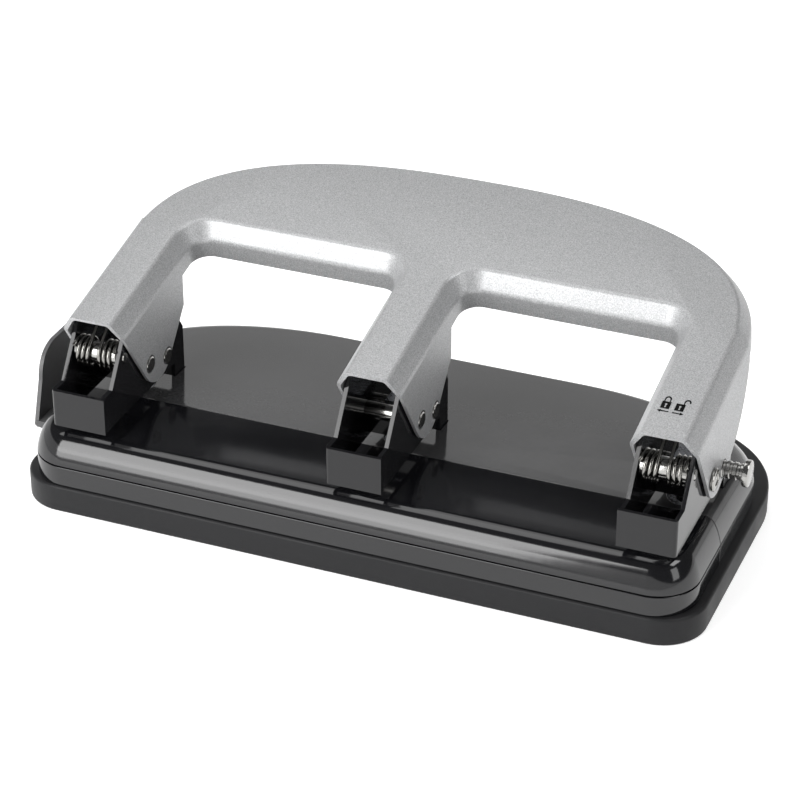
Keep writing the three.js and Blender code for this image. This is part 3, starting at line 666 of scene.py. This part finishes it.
# The knee, centre, pull and corners are (behind the bracket's front, above the slot's roof).
LOBE_KNEE = (14.7, 32.9)
LOBE_LEAN = 0.671
LOBE_CENTRE = (41.5, 14.0)
LOBE_RADIUS = 11.8
LOBE_START = 213.9
INNER_END = 320.0
INNER_CORNER = (64.0, 22.5)
OUTER_END = 300.0
OUTER_PULL = (72.0, 11.0)
OUTER_CORNER = (76.0, 36.0)
BEND_STEPS = 6
ARCH_STEPS = 96
WINDOW_STEPS = 16
LOBE_STEPS = 28
PIN_HOLE = 7.2
CUT_EDGE = 0.28
CUT_EDGE_ANGLE = 60
HANDLE_SHARP = 25

slope = radians(SLOPE)


def in_space(x, u, depth):
    """A point of the handle in space: u runs up the slope of its top face, depth runs square to it."""
    return (x, MOUTH_Y + u * cos(slope) + depth * sin(slope), MOUTH_Z + u * sin(slope) - depth * cos(slope))


def in_plane(y, z):
    """u and depth of a point given from the bracket's front and from the slot's roof."""
    along, up = BRACKET_FRONT + y - MOUTH_Y, SLOT_ROOF + z - MOUTH_Z
    return along * cos(slope) + up * sin(slope), along * sin(slope) - up * cos(slope)


def lobe_edge(outer):
    """Lower edge of a leg's side from the knee of the mouth to the skirt, as (u, depth) pairs."""
    last = OUTER_END if outer else INNER_END
    edge = []
    for step in range(LOBE_STEPS + 1):
        angle = radians(LOBE_START + (last - LOBE_START) * step / LOBE_STEPS)
        edge.append((LOBE_CENTRE[0] + LOBE_RADIUS * cos(angle), LOBE_CENTRE[1] + LOBE_RADIUS * sin(angle)))
    if outer:
        start, pull, end = edge[-1], OUTER_PULL, OUTER_CORNER
        for step in range(1, LOBE_STEPS + 1):
            t = step / LOBE_STEPS
            near, bend, far = (1 - t) ** 2, 2 * t * (1 - t), t * t
            edge.append(tuple(near * a + bend * b + far * c for a, b, c in zip(start, pull, end)))
    else:
        edge.append(INNER_CORNER)
    flat = [in_plane(y, z) for y, z in edge]
    u, depth = flat[-1]
    rise = (depth - SKIRT) / cos(slope)
    flat.append((u + rise * sin(slope), SKIRT))
    return flat


def fold_profile(out_shift, down_shift):
    """The fold from top face to skirt as (outward, depth) pairs, round at its two bends."""
    a, b = Vector((out_shift, down_shift)), Vector((BEVEL_OUT + out_shift, BEVEL_DOWN + down_shift))
    fold = (b - a).normalized()
    flat, down = Vector((1, 0)), Vector((0, 1))
    bends = ((a, flat, fold, TOP_BEND * TOP_BEND_SHARE), (b, fold, down, SIDE_BEND * SIDE_BEND_SHARE))
    profile = []
    for corner, before, after, reach in bends:
        for step in range(BEND_STEPS + 1):
            t = step / BEND_STEPS
            profile.append(tuple(corner - before * reach * (1 - t) ** 2 + after * reach * t ** 2))
    return profile


knee_u, knee_depth = in_plane(*LOBE_KNEE)
edge_slope = tan(atan(LOBE_LEAN) - slope)
mouth_slope = tan(radians(MOUTH_LEAN - SLOPE))


def mouth_u(depth):
    """Where the mouth's cut edge crosses the leg at a depth."""
    if depth <= knee_depth:
        return depth * mouth_slope
    return knee_u + (depth - knee_depth) * edge_slope


def leg_columns(x, way, outer):
    """Columns of one side of a leg, from the mouth upward: (x, u, outward x, outward u, skirt's depth)."""
    columns = [(x, 0.0, way, 0.0, None)]
    columns += [(x, u, way, 0.0, depth) for u, depth in lobe_edge(outer)]
    return columns


def arch_columns():
    """Columns along the outer edge of the arch, from the left leg to the right."""
    half = HEADS["right"] + LEG_HALF
    arch_depth = ARCH_REAR - ARCH_START
    columns = []
    for step in range(1, ARCH_STEPS):
        angle = pi - pi * step / ARCH_STEPS
        way = 1 if cos(angle) >= 0 else -1
        across = way * abs(cos(angle)) ** (2 / ARCH_POWER)
        back = sin(angle) ** (2 / ARCH_POWER)
        normal = Vector((way * abs(across) ** (ARCH_POWER - 1) / half,
                         back ** (ARCH_POWER - 1) / arch_depth)).normalized()
        columns.append((half * across, ARCH_START + arch_depth * back, normal.x, normal.y, SKIRT))
    return columns


def window_columns(left, right):
    """Columns round the far end of a window, from its left side to its right."""
    columns = []
    centre_u = BAR_FRONT - WINDOW_RADIUS
    for centre_x, start in ((left + WINDOW_RADIUS, 180), (right - WINDOW_RADIUS, 90)):
        for step in range(WINDOW_STEPS + 1):
            angle = radians(start - 90 * step / WINDOW_STEPS)
            columns.append((centre_x + WINDOW_RADIUS * cos(angle), centre_u + WINDOW_RADIUS * sin(angle),
                            -cos(angle), -sin(angle), SKIRT))
    return columns


def edge_strips():
    """The handle's edges as strips of columns, each from one leg's mouth to the next."""
    left_outer = -HEADS["right"] - LEG_HALF
    strips = [leg_columns(left_outer, -1, True) + arch_columns()
              + list(reversed(leg_columns(-left_outer, 1, True)))]
    for first, second in (("middle", "right"), ("left", "middle")):
        left, right = HEADS[first] + LEG_HALF, HEADS[second] - LEG_HALF
        strip = (leg_columns(left, 1, False) + window_columns(left, right)
                 + list(reversed(leg_columns(right, -1, False))))
        strips.append(list(reversed(strip)))
    return strips


def column_points(column, skin_fold, points):
    """Adds the points of one skin of a column, from the top face down, and returns their numbers."""
    x, u, out_x, out_u, bottom = column
    numbers = []
    for outward, depth in skin_fold:
        where = mouth_u(depth) if bottom is None else u + out_u * outward
        numbers.append(len(points))
        points.append(in_space(x + out_x * outward, where, depth))
    if bottom is not None:
        reach = skin_fold[-1][0]
        numbers.append(len(points))
        points.append(in_space(x + out_x * reach, u + out_u * reach, bottom))
    return numbers


def faces_between(one, two):
    """Faces between two neighbouring columns: both skins, and the cut edge that joins them."""
    faces = []
    for a, b in ((one["outer"], two["outer"]), (one["inner"], two["inner"])):
        last = min(len(a), len(b)) - 1
        for row in range(last):
            faces.append((a[row], b[row], b[row + 1], a[row + 1]))
        if len(a) != len(b):
            longer = a if len(a) > len(b) else b
            faces.append((a[last], b[last], longer[-1]))
    faces.append((one["outer"][-1], two["outer"][-1], two["inner"][-1], one["inner"][-1]))
    return faces


def handle_mesh():
    """Points and faces of the whole pressing, with its two skins a sheet's thickness apart."""
    folds = {"outer": fold_profile(0, 0), "inner": fold_profile(-SHEET, SHEET)}
    points, faces = [], []
    top_rims = {"outer": [], "inner": []}
    mouth_ends = []
    for strip in edge_strips():
        grid = []
        for column in strip:
            grid.append({skin: column_points(column, fold, points) for skin, fold in folds.items()})
        for skin in folds:
            top_rims[skin] += [column[skin][0] for column in grid]
        for one, two in zip(grid, grid[1:]):
            faces += faces_between(one, two)
        for column in (grid[0], grid[-1]):
            outer, inner = column["outer"], column["inner"]
            for row in range(len(folds["outer"]) - 1):
                faces.append((outer[row], inner[row], inner[row + 1], outer[row + 1]))
        mouth_ends.append((grid[0], grid[-1]))
    for k, (_, end) in enumerate(mouth_ends):
        following = mouth_ends[(k + 1) % len(mouth_ends)][0]
        faces.append((end["outer"][0], following["outer"][0], following["inner"][0], end["inner"][0]))
    faces.append(tuple(top_rims["outer"]))
    faces.append(tuple(top_rims["inner"]))
    return points, faces


def silver_paint():
    """Silver metallic paint: a fine bright fleck in a pale grey, under a thin clear coat."""
    fleck_size, fleck_detail, fleck_depth = 0.42, 3.0, 0.012
    drift_size = 30.0
    dark, light = (0.33, 0.334, 0.34), (0.55, 0.554, 0.56)
    smoothest, roughest = 0.42, 0.48
    material, nodes, links = shader("silver metallic paint")
    body = nodes["Principled BSDF"]
    fleck = speckle(nodes, links, fleck_size, fleck_detail)
    drift = speckle(nodes, links, drift_size)
    share = spread(nodes, links, fleck, 0, 1, (0.35, 0.65))
    links.new(blend_colours(nodes, links, share, dark, light), body.inputs["Base Color"])
    links.new(spread(nodes, links, drift, smoothest, roughest), body.inputs["Roughness"])
    links.new(relief(nodes, links, fleck, fleck_depth), body.inputs["Normal"])
    body.inputs["Metallic"].default_value = 0.45
    body.inputs["Coat Weight"].default_value = 0.1
    body.inputs["Coat Roughness"].default_value = 0.25
    return material


handle = piece_from("handle_pressing", *handle_mesh(), silver_paint(), sharp=HANDLE_SHARP)
reach = HEADS["right"] + 2 * LEG_HALF
carve(handle, [cutter_rod("x", PIN_HOLE, -reach, reach, (PIVOT_Y, PIVOT_Z)),
               cutter_rod("x", PIN_HOLE, -reach, reach, (DRIVE_Y, DRIVE_Z))])
handle.data.shade_smooth()
handle.data.set_sharp_from_angle(angle=radians(HANDLE_SHARP))
soften_edges(handle, CUT_EDGE, angle=CUT_EDGE_ANGLE, segments=2)
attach(handle, "handle")
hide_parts("handle")

# Lock knob
# The lock knob is a turned sleeve with a grooved waist and a flat head, nickel plated.
# Its bore slides on the end of the right drive pin.

KNOB_START = 119.15
KNOB_LENGTH = 10.9
KNOB_RADIUS = 3.2
KNOB_EDGE = 0.3
KNOB_CENTRE = 0.3
KNOB_BORE = 2.3
BORE_FLOOR_DEPTH = 0.7
BORE_FLOOR_CROWN = 0.1
BORE_FLOOR_INSET = 0.2
KNOB_HEAD = 4.9
KNOB_HEAD_THICK = 2.2
KNOB_HEAD_ROUND_START = 0.5
KNOB_HEAD_ROUND_MIDDLE = 0.15
KNOB_HEAD_ROUND = 0.6
WAIST_GROOVES = 3
WAIST_GROOVE_DEPTH = 0.35
WAIST_GROOVE_HALF = 0.7
WAIST_FLOOR_HALF = 0.35
WAIST_FIRST = 0.7
WAIST_SPARE = 0.4
KNOB_SIDES = 56


def knob_profile():
    """Profile of the knob: out of its bore, along its grooved waist and over its head."""
    knob_end = KNOB_START + KNOB_LENGTH
    waist_end = knob_end - KNOB_HEAD_THICK
    profile = [(waist_end + BORE_FLOOR_DEPTH - BORE_FLOOR_CROWN, KNOB_CENTRE),
               (waist_end + BORE_FLOOR_DEPTH, KNOB_BORE - BORE_FLOOR_INSET),
               (waist_end, KNOB_BORE), (KNOB_START, KNOB_BORE),
               (KNOB_START, KNOB_RADIUS - KNOB_EDGE), (KNOB_START + KNOB_EDGE, KNOB_RADIUS)]
    waist = waist_end - KNOB_START
    floor_radius = KNOB_RADIUS - WAIST_GROOVE_DEPTH
    for groove in range(WAIST_GROOVES):
        middle = KNOB_START + waist * (groove + WAIST_FIRST) / (WAIST_GROOVES + WAIST_SPARE)
        profile += [(middle - WAIST_GROOVE_HALF, KNOB_RADIUS), (middle - WAIST_FLOOR_HALF, floor_radius),
                    (middle + WAIST_FLOOR_HALF, floor_radius), (middle + WAIST_GROOVE_HALF, KNOB_RADIUS)]
    profile += [(waist_end, KNOB_RADIUS), (waist_end, KNOB_HEAD - KNOB_EDGE),
                (waist_end + KNOB_EDGE, KNOB_HEAD), (knob_end - KNOB_HEAD_ROUND_START, KNOB_HEAD),
                (knob_end - KNOB_HEAD_ROUND_MIDDLE, KNOB_HEAD - KNOB_HEAD_ROUND_MIDDLE),
                (knob_end, KNOB_HEAD - KNOB_HEAD_ROUND), (knob_end, KNOB_CENTRE)]
    return profile


knob = turned("lock_knob_turned", knob_profile(), (DRIVE_Y, DRIVE_Z), bright, sides=KNOB_SIDES)
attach(knob, "lock")
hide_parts("lock_knob")

# Lock marks
# Two small signs printed on the right leg show which way the lock knob slides: a shut padlock with an
# arrow to the left, and an open one with an arrow to the right. They are a thin film of black ink.

INK = 0.04
INK_LIFT = 0.01
MARK_U = 15.4
MARK_MIDDLE = -1.4
MARK_SPACING = 5.0
MARK_STRETCH = 1.3
SHACKLE_HEIGHT = 2.3
SHACKLE_RADIUS = 0.95
SHACKLE_WIDTH = 0.55
OPEN_SHIFT = 1.9
OPEN_START = -10
# Outlines are (right, up the slope) from the middle of a sign; the body's left half holds half a keyhole.
BODY_LEFT = [(-1.6, -1.4), (0.0, -1.4), (0.0, -0.9), (-0.28, -0.9), (-0.2, 0.0), (-0.42, 0.25),
             (-0.3, 0.6), (0.0, 0.7), (0.0, 1.4), (-1.6, 1.4)]
LEFT_POST = [(-1.16, 1.2), (-0.74, 1.2), (-0.74, 2.35), (-1.16, 2.35)]
RIGHT_POST = [(0.74, 1.2), (1.16, 1.2), (1.16, 2.35), (0.74, 2.35)]
ARROW_RIGHT = [(-1.9, -2.6), (-1.9, -2.2), (0.9, -2.2), (0.9, -1.8), (2.2, -2.4), (0.9, -3.0), (0.9, -2.6)]

ink_black = black_finish("black ink", tone=(0.003, 0.003, 0.003), gloss=(0.45, 0.55),
                          grain=0.3, depth=0.01, sheen=0.08)


def film(shape, x, u):
    """A flat film on the handle's top face from an outline about a point of that face."""
    count = len(shape)
    low = [in_space(x + a, u + b * MARK_STRETCH, -INK_LIFT) for a, b in shape]
    high = [in_space(x + a, u + b * MARK_STRETCH, -INK_LIFT - INK) for a, b in shape]
    faces = [(i, (i + 1) % count, count + (i + 1) % count, count + i) for i in range(count)]
    faces += [tuple(reversed(range(count))), tuple(range(count, 2 * count))]
    return low + high, faces


def arc_band(centre, radius, width, start, end, steps=12):
    """Outline of a bent band: along its outer arc, and back along its inner one."""
    rims = []
    for reach in (radius + width / 2, radius - width / 2):
        rim = []
        for step in range(steps + 1):
            angle = radians(start + (end - start) * step / steps)
            rim.append((centre[0] + reach * cos(angle), centre[1] + reach * sin(angle)))
        rims.append(rim)
    outer, inner = rims
    return outer + inner[::-1]


def padlock(is_open):
    """Outlines of a padlock with an arrow under it: shut and leftward, or open and rightward."""
    body_right = [(-a, b) for a, b in reversed(BODY_LEFT)]
    if is_open:
        shackle = arc_band((OPEN_SHIFT, SHACKLE_HEIGHT), SHACKLE_RADIUS, SHACKLE_WIDTH, OPEN_START, 180)
        return [BODY_LEFT, body_right, shackle, RIGHT_POST, ARROW_RIGHT]
    shackle = arc_band((0, SHACKLE_HEIGHT), SHACKLE_RADIUS, SHACKLE_WIDTH, 0, 180)
    arrow_left = [(-a, b) for a, b in ARROW_RIGHT]
    return [BODY_LEFT, body_right, shackle, LEFT_POST, RIGHT_POST, arrow_left]


sign_points = []
sign_faces = []
for side, is_open in ((-1, False), (1, True)):
    x = HEADS["right"] + MARK_MIDDLE + side * MARK_SPACING / 2
    for shape in padlock(is_open):
        new_points, new_faces = film(shape, x, MARK_U)
        start = len(sign_points)
        sign_points += new_points
        sign_faces += [tuple(start + i for i in face) for face in new_faces]
signs = piece_from("lock_marks_print", sign_points, sign_faces, ink_black)
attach(signs, "handle")

# Paper guide
# The paper guide is an upright stop moulded in black plastic with a soft sheen.
# Its flat arm slides in the rail inside the base, through a slot in the front cover.

GUIDE_EDGE = 0.4

guide_black = black_finish("guide black plastic", tone=(0.085, 0.085, 0.086), gloss=(0.34, 0.42),
                            grain=0.8, depth=0.01)
dress("paper_guide", guide_black, GUIDE_EDGE)

# Studio
# The machine stands on a wide pale floor, in a surround that is white low down and dark overhead.
# Soft lamps light it: three in a column at the front left, two on the right and one large one above.
# The camera stands where the picture was taken, in front and to the right, looking down on the machine.

CAMERA_PLACE = Vector((0.3251, -0.8056, 0.5495))
CAMERA_LOOK = Vector((-0.3245, 0.8018, -0.5018))
CAMERA_UP = Vector((-0.1882, 0.4652, 0.8650))
LENS = 124.6
SENSOR = 36.0
CLIP_START = 0.05
CLIP_END = 200
FLOOR_HALF = 30.0
FLOOR_GLOW = 0.55
SURROUND_TILT = 0.45
SURROUND_BRIGHT_END = 0.445
SURROUND_DARK_START = 0.475
SURROUND_BRIGHT = 1.0
SURROUND_DARK = 0.12

eye = bpy.data.cameras.new("camera")
eye.lens = LENS
eye.sensor_width = SENSOR
eye.clip_start = CLIP_START
eye.clip_end = CLIP_END
camera = bpy.data.objects.new("camera", eye)
bpy.context.scene.collection.objects.link(camera)
back = -CAMERA_LOOK.normalized()
right_way = CAMERA_UP.cross(back).normalized()
up_way = back.cross(right_way)
camera.matrix_world = Matrix((
    (right_way.x, up_way.x, back.x, CAMERA_PLACE.x),
    (right_way.y, up_way.y, back.y, CAMERA_PLACE.y),
    (right_way.z, up_way.z, back.z, CAMERA_PLACE.z),
    (0, 0, 0, 1)))
bpy.context.scene.camera = camera


def lamp(name, place, target, width, height, power):
    """A soft rectangular lamp, unseen by the camera, turned to a target; metres and watts."""
    light = bpy.data.lights.new(name, "AREA")
    light.shape = "RECTANGLE"
    light.size = width
    light.size_y = height
    light.energy = power
    holder = bpy.data.objects.new(name, light)
    holder.location = place
    holder.rotation_euler = (Vector(target) - Vector(place)).to_track_quat("-Z", "Y").to_euler()
    holder.visible_camera = False
    bpy.context.scene.collection.objects.link(holder)


lamp("front_left_lamp", (-0.37, -0.73, 0.59), (0, 0, 0.04), width=0.50, height=0.40, power=4.3)
lamp("front_left_low_lamp", (-0.42, -0.85, 0.34), (0, 0, 0.04), width=0.56, height=0.16, power=1.95)
lamp("front_left_foot_lamp", (-0.43, -0.875, 0.18), (0, 0, 0.04), width=0.56, height=0.17, power=1.5)
lamp("right_lamp", (0.90, -0.37, 0.42), (0.10, -0.04, 0.02), width=0.28, height=0.55, power=1.35)
lamp("upper_right_lamp", (0.62, 0.0, 1.05), (0, 0, 0.06), width=0.5, height=0.5, power=4.0)
lamp("top_lamp", (-0.45, 0.20, 1.45), (0, 0, 0.05), width=1.2, height=0.8, power=6.8)


def math_node(nodes, links, operation, *sources):
    """A maths node; each source is the output of another node or a plain number."""
    node = nodes.new("ShaderNodeMath")
    node.operation = operation
    for socket, source in zip(node.inputs, sources):
        if isinstance(source, bpy.types.NodeSocket):
            links.new(source, socket)
        else:
            socket.default_value = source
    return node.outputs[0]


def pale_floor():
    """Matte floor that takes shadows, with a glow that only the camera and reflections see."""
    material, nodes, links = shader("pale floor")
    surface = nodes["Principled BSDF"]
    surface.inputs["Roughness"].default_value = 0.9
    surface.inputs["Specular IOR Level"].default_value = 0.0
    surface.inputs["Base Color"].default_value = (0.9, 0.9, 0.9, 1)
    rays = nodes.new("ShaderNodeLightPath")
    seen = math_node(nodes, links, "MAXIMUM", rays.outputs["Is Camera Ray"], rays.outputs["Is Glossy Ray"])
    glow = nodes.new("ShaderNodeEmission")
    links.new(math_node(nodes, links, "MULTIPLY", seen, FLOOR_GLOW), glow.inputs["Strength"])
    both = nodes.new("ShaderNodeAddShader")
    links.new(surface.outputs[0], both.inputs[0])
    links.new(glow.outputs[0], both.inputs[1])
    links.new(both.outputs[0], nodes["Material Output"].inputs["Surface"])
    return material


floor_mesh = bpy.data.meshes.new("floor")
floor_mesh.from_pydata([(-FLOOR_HALF, -FLOOR_HALF, 0), (FLOOR_HALF, -FLOOR_HALF, 0),
                        (FLOOR_HALF, FLOOR_HALF, 0), (-FLOOR_HALF, FLOOR_HALF, 0)], [], [(0, 1, 2, 3)])
floor_mesh.materials.append(pale_floor())
floor = bpy.data.objects.new("floor", floor_mesh)
bpy.context.scene.collection.objects.link(floor)


def surround():
    """World that is bright up to a tilted line and dark above it; the camera sees it plain white."""
    world = bpy.data.worlds.new("studio")
    world.use_nodes = True
    nodes, links = world.node_tree.nodes, world.node_tree.links
    place = nodes.new("ShaderNodeTexCoord")
    split = nodes.new("ShaderNodeSeparateXYZ")
    links.new(place.outputs["Generated"], split.inputs[0])
    rightward = math_node(nodes, links, "MAXIMUM", split.outputs["X"], 0.0)
    height = math_node(nodes, links, "MULTIPLY_ADD", rightward, SURROUND_TILT, split.outputs["Z"])
    shade = spread(nodes, links, height, SURROUND_BRIGHT, SURROUND_DARK,
                   (SURROUND_BRIGHT_END, SURROUND_DARK_START))
    rays = nodes.new("ShaderNodeLightPath")
    level = nodes.new("ShaderNodeMix")
    level.data_type = "FLOAT"
    links.new(rays.outputs["Is Camera Ray"], level.inputs[0])
    links.new(shade, level.inputs[2])
    level.inputs[3].default_value = 1.0
    sky = nodes["Background"]
    links.new(level.outputs[0], sky.inputs["Strength"])
    sky.inputs["Color"].default_value = (1, 1, 1, 1)
    return world


bpy.context.scene.world = surround()
bpy.context.scene.view_settings.view_transform = "Standard"
